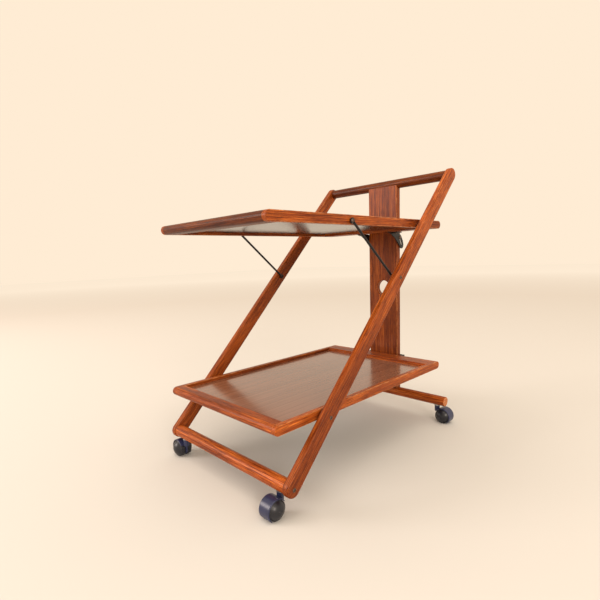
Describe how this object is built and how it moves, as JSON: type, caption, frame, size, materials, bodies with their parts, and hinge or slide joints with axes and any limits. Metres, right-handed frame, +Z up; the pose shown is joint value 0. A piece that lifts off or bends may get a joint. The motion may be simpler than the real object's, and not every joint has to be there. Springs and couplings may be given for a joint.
{
  "type": "folding bar cart",
  "caption": "Folding wooden bar cart: two rimmed trays on sloping side rails, an upright board with a grip hole, steel struts and swivelling twin-wheel casters.",
  "frame": {"origin": "middle of the footprint, on the floor", "axes": "+X across the cart to its right side, +Y from the front casters to the handle, +Z up"},
  "size_m": [0.4688, 0.733, 0.754],
  "materials": {
    "stained_wood": "red-brown stained hardwood under satin lacquer, straight grain",
    "tray_wood": "red-brown stained hardwood under satin lacquer, straight grain",
    "tray_laminate": "glossy brown wood veneer with faint lengthwise grain, grey-brown underneath",
    "dowel_wood": "plain unstained hardwood",
    "screw_steel": "dark blued steel with a dull shine",
    "black_steel": "black lacquered steel, satin",
    "spacer_plastic": "matt black plastic",
    "socket_steel": "bright zinc-plated steel",
    "caster_hood": "glossy black plastic",
    "caster_wheel": "black plastic, satin on the face and duller on the tread"
  },
  "bodies": {
    "frame": {"rail_right": "stained_wood", "rail_left": "stained_wood", "front_bar": "stained_wood", "front_bar_screws": "screw_steel", "strut_rail_screws": "screw_steel", "lower_tray_pivot_screws": "screw_steel", "lower_tray_spacers": "spacer_plastic", "front_caster_sockets": "socket_steel"},
    "rear_leg": {"handle_bar": "stained_wood", "back_board": "stained_wood", "rear_bar": "stained_wood", "board_dowels": "dowel_wood", "upper_hinge_pin": "screw_steel", "tie_stop_pins": "screw_steel", "rear_caster_sockets": "socket_steel"},
    "upper_tray": {"upper_tray_panel": "tray_laminate", "upper_tray_front_rail": "tray_wood", "upper_tray_rear_rail": "tray_wood", "upper_tray_right_rail": "tray_wood", "upper_tray_left_rail": "tray_wood", "tray_bracket_right": "black_steel", "tray_bracket_left": "black_steel", "tray_bracket_screws": "screw_steel"},
    "lower_tray": {"lower_tray_panel": "tray_laminate", "lower_tray_front_rail": "tray_wood", "lower_tray_rear_rail": "tray_wood", "lower_tray_right_rail": "tray_wood", "lower_tray_left_rail": "tray_wood"},
    "struts": {"strut_right": "black_steel", "strut_left": "black_steel", "strut_tray_screws": "screw_steel"},
    "lower_tie": {"lower_tray_tie": "black_steel"},
    "caster_front_right": {"caster_front_right_hood": "caster_hood", "caster_front_right_stem": "socket_steel", "caster_front_right_axle": "socket_steel"},
    "caster_front_right_wheel_a_body": {"caster_front_right_wheel_a": "caster_wheel"},
    "caster_front_right_wheel_b_body": {"caster_front_right_wheel_b": "caster_wheel"},
    "caster_front_left": {"caster_front_left_hood": "caster_hood", "caster_front_left_stem": "socket_steel", "caster_front_left_axle": "socket_steel"},
    "caster_front_left_wheel_a_body": {"caster_front_left_wheel_a": "caster_wheel"},
    "caster_front_left_wheel_b_body": {"caster_front_left_wheel_b": "caster_wheel"},
    "caster_rear_right": {"caster_rear_right_hood": "caster_hood", "caster_rear_right_stem": "socket_steel", "caster_rear_right_axle": "socket_steel"},
    "caster_rear_right_wheel_a_body": {"caster_rear_right_wheel_a": "caster_wheel"},
    "caster_rear_right_wheel_b_body": {"caster_rear_right_wheel_b": "caster_wheel"},
    "caster_rear_left": {"caster_rear_left_hood": "caster_hood", "caster_rear_left_stem": "socket_steel", "caster_rear_left_axle": "socket_steel"},
    "caster_rear_left_wheel_a_body": {"caster_rear_left_wheel_a": "caster_wheel"},
    "caster_rear_left_wheel_b_body": {"caster_rear_left_wheel_b": "caster_wheel"}
  },
  "joints": [
    {"name": "rear_leg_fold", "type": "hinge", "parent": "frame", "child": "rear_leg", "pos_m": [0, 0.3443, 0.736], "axis": [-1, 0, 0], "range_deg": [0, 36.5]},
    {"name": "upper_tray_fold", "type": "hinge", "parent": "rear_leg", "child": "upper_tray", "pos_m": [0, 0.3413, 0.57], "axis": [1, 0, 0], "range_deg": [0, 74.34]},
    {"name": "strut_fold", "type": "hinge", "parent": "frame", "child": "struts", "pos_m": [0, 0.0685, 0.4603], "axis": [1, 0, 0], "range_deg": [0, 69.2]},
    {"name": "lower_tie_slide", "type": "slide", "parent": "rear_leg", "child": "lower_tie", "axis": [0, 0, 1], "range_m": [0, 0.29358]},
    {"name": "lower_tray_fold", "type": "hinge", "parent": "lower_tie", "child": "lower_tray", "pos_m": [0, 0.3153, 0.183], "axis": [1, 0, 0], "range_deg": [0, 80.6]},
    {"name": "caster_front_right_swivel", "type": "hinge", "parent": "frame", "child": "caster_front_right", "pos_m": [0.185, -0.3201, 0.06], "axis": [0, 0, 1], "continuous": true},
    {"name": "caster_front_right_wheel_a_spin", "type": "hinge", "parent": "caster_front_right", "child": "caster_front_right_wheel_a_body", "pos_m": [0.185, -0.3421, 0.0215], "axis": [1, 0, 0], "continuous": true},
    {"name": "caster_front_right_wheel_b_spin", "type": "hinge", "parent": "caster_front_right", "child": "caster_front_right_wheel_b_body", "pos_m": [0.185, -0.3421, 0.0215], "axis": [1, 0, 0], "continuous": true},
    {"name": "caster_front_left_swivel", "type": "hinge", "parent": "frame", "child": "caster_front_left", "pos_m": [-0.185, -0.3201, 0.06], "axis": [0, 0, 1], "continuous": true},
    {"name": "caster_front_left_wheel_a_spin", "type": "hinge", "parent": "caster_front_left", "child": "caster_front_left_wheel_a_body", "pos_m": [-0.207, -0.3201, 0.0215], "axis": [0, -1, 0], "continuous": true},
    {"name": "caster_front_left_wheel_b_spin", "type": "hinge", "parent": "caster_front_left", "child": "caster_front_left_wheel_b_body", "pos_m": [-0.207, -0.3201, 0.0215], "axis": [0, -1, 0], "continuous": true},
    {"name": "caster_rear_right_swivel", "type": "hinge", "parent": "rear_leg", "child": "caster_rear_right", "pos_m": [0.188, 0.3413, 0.06], "axis": [0, 0, 1], "continuous": true},
    {"name": "caster_rear_right_wheel_a_spin", "type": "hinge", "parent": "caster_rear_right", "child": "caster_rear_right_wheel_a_body", "pos_m": [0.21, 0.3413, 0.0215], "axis": [0, 1, 0], "continuous": true},
    {"name": "caster_rear_right_wheel_b_spin", "type": "hinge", "parent": "caster_rear_right", "child": "caster_rear_right_wheel_b_body", "pos_m": [0.21, 0.3413, 0.0215], "axis": [0, 1, 0], "continuous": true},
    {"name": "caster_rear_left_swivel", "type": "hinge", "parent": "rear_leg", "child": "caster_rear_left", "pos_m": [-0.188, 0.3413, 0.06], "axis": [0, 0, 1], "continuous": true},
    {"name": "caster_rear_left_wheel_a_spin", "type": "hinge", "parent": "caster_rear_left", "child": "caster_rear_left_wheel_a_body", "pos_m": [-0.21, 0.3413, 0.0215], "axis": [0, -1, 0], "continuous": true},
    {"name": "caster_rear_left_wheel_b_spin", "type": "hinge", "parent": "caster_rear_left", "child": "caster_rear_left_wheel_b_body", "pos_m": [-0.21, 0.3413, 0.0215], "axis": [0, -1, 0], "continuous": true}
  ],
  "couplings": [
    {"joint": "upper_tray_fold", "follows": "rear_leg_fold", "ratio": 2.0367},
    {"joint": "strut_fold", "follows": "rear_leg_fold", "ratio": 1.8959},
    {"joint": "lower_tie_slide", "follows": "rear_leg_fold", "m_per_rad": 0.46085},
    {"joint": "lower_tray_fold", "follows": "rear_leg_fold", "ratio": 2.2082}
  ]
}
